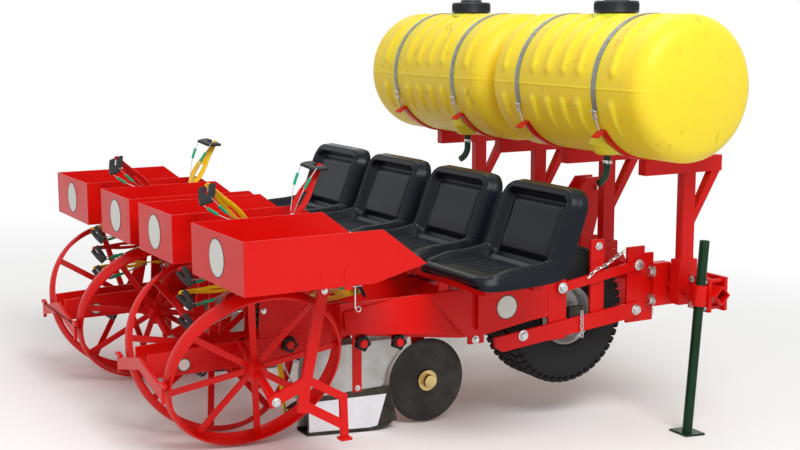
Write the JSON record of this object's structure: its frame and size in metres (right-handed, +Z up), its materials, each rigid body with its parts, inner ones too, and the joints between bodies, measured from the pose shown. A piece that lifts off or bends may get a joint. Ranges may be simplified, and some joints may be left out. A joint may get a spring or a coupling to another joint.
{
  "type": "bare root transplanter",
  "caption": "Tractor-mounted bare-root transplanter: row units with planting chains, seats, plant trays, canted press wheels and water tanks over a diamond toolbar.",
  "frame": {"origin": "floor, under the middle of the machine's box", "axes": "+X forward towards the tractor, +Y to the machine's left, +Z up"},
  "size_m": [2.1782, 2, 1.578],
  "materials": {
    "black_paint": "satin",
    "black_plastic": "satin",
    "brass": "satin",
    "bright_steel": "brushed",
    "dark_steel": "satin",
    "galvanised": "satin",
    "green_hose": "satin",
    "green_paint": "gloss",
    "grey_steel": "satin",
    "pad_rubber": "matte",
    "red_paint": "gloss",
    "rim_silver": "satin",
    "seat_vinyl": "satin",
    "tyre_rubber": "matte",
    "yellow_paint": "gloss",
    "yellow_poly": "satin"
  },
  "bodies": {
    "frame": {"row_brackets": "red_paint", "link_arms": "red_paint", "link_uprights": "red_paint", "drive_axles": "dark_steel", "side_rails": "red_paint", "cross_members": "red_paint", "guard_plates": "red_paint", "seat_rails": "red_paint", "seats": "seat_vinyl", "trays": "red_paint", "tray_supports": "red_paint", "planting_chains": "dark_steel", "chain_sprockets": "dark_steel", "gripper_pads": "pad_rubber", "rear_bars": "red_paint", "chain_uprights": "red_paint", "plate_ties": "red_paint", "idler_bosses": "black_paint", "shoes": "grey_steel", "shoe_plates": "bright_steel", "shoe_runners": "dark_steel", "shoe_hangers": "red_paint", "coulter_arms": "red_paint", "wheel_axles": "dark_steel", "scraper_bars": "red_paint", "footrests": "red_paint", "toolbar": "red_paint", "hitch_mast": "red_paint", "hitch_pins": "galvanised", "tank_posts": "red_paint", "cradle_beams": "red_paint", "post_braces": "red_paint", "tank_bands": "red_paint", "tank_straps": "galvanised", "right_tank": "yellow_poly", "left_tank": "yellow_poly", "outlet_hoses": "green_hose", "red_arms": "red_paint", "yellow_arms": "yellow_paint", "stand_clamps": "red_paint"},
    "right_outer_press_wheel": {"right_outer_press_wheel": "red_paint"},
    "right_inner_press_wheel": {"right_inner_press_wheel": "red_paint"},
    "right_coulter": {"right_coulter_disc": "dark_steel", "right_coulter_hub": "brass"},
    "right_drive_wheel": {"right_drive_tyre": "tyre_rubber", "right_drive_rim": "rim_silver"},
    "right_stand": {"right_stand": "green_paint"},
    "right_tank_lid": {"right_tank_lid": "black_plastic"},
    "left_outer_press_wheel": {"left_outer_press_wheel": "red_paint"},
    "left_inner_press_wheel": {"left_inner_press_wheel": "red_paint"},
    "left_coulter": {"left_coulter_disc": "dark_steel", "left_coulter_hub": "brass"},
    "left_drive_wheel": {"left_drive_tyre": "tyre_rubber", "left_drive_rim": "rim_silver"},
    "left_stand": {"left_stand": "green_paint"},
    "left_tank_lid": {"left_tank_lid": "black_plastic"}
  },
  "joints": [
    {"name": "right_outer_press_wheel_turn", "type": "hinge", "parent": "frame", "child": "right_outer_press_wheel", "pos_m": [-0.76587, -0.65902, 0.28545], "axis": [-0.0312, 0.9135, 0.4055], "continuous": true},
    {"name": "right_inner_press_wheel_turn", "type": "hinge", "parent": "frame", "child": "right_inner_press_wheel", "pos_m": [-0.76587, -0.29098, 0.28545], "axis": [0.0312, 0.9135, -0.4055], "continuous": true},
    {"name": "right_coulter_turn", "type": "hinge", "parent": "frame", "child": "right_coulter", "pos_m": [-0.01088, -0.475, 0.15808], "axis": [0, 1, 0], "continuous": true},
    {"name": "right_drive_wheel_turn", "type": "hinge", "parent": "frame", "child": "right_drive_wheel", "pos_m": [0.52154, -0.475, 0.39462], "axis": [0, 1, 0], "continuous": true},
    {"name": "right_stand_slide", "type": "slide", "parent": "frame", "child": "right_stand", "axis": [0, 0, 1], "range_m": [0, 0.24]},
    {"name": "right_tank_lid_turn", "type": "hinge", "parent": "frame", "child": "right_tank_lid", "pos_m": [0.68573, -0.503, 1.53257], "axis": [-0.0767, 0, 0.9971], "range_deg": [0, 270]},
    {"name": "left_outer_press_wheel_turn", "type": "hinge", "parent": "frame", "child": "left_outer_press_wheel", "pos_m": [-0.76587, 0.65902, 0.28545], "axis": [0.0312, 0.9135, -0.4055], "continuous": true},
    {"name": "left_inner_press_wheel_turn", "type": "hinge", "parent": "frame", "child": "left_inner_press_wheel", "pos_m": [-0.76587, 0.29098, 0.28545], "axis": [-0.0312, 0.9135, 0.4055], "continuous": true},
    {"name": "left_coulter_turn", "type": "hinge", "parent": "frame", "child": "left_coulter", "pos_m": [-0.01088, 0.475, 0.15808], "axis": [0, 1, 0], "continuous": true},
    {"name": "left_drive_wheel_turn", "type": "hinge", "parent": "frame", "child": "left_drive_wheel", "pos_m": [0.52154, 0.475, 0.39462], "axis": [0, 1, 0], "continuous": true},
    {"name": "left_stand_slide", "type": "slide", "parent": "frame", "child": "left_stand", "axis": [0, 0, 1], "range_m": [0, 0.24]},
    {"name": "left_tank_lid_turn", "type": "hinge", "parent": "frame", "child": "left_tank_lid", "pos_m": [0.68573, 0.503, 1.53257], "axis": [-0.0767, 0, 0.9971], "range_deg": [0, 270]}
  ]
}
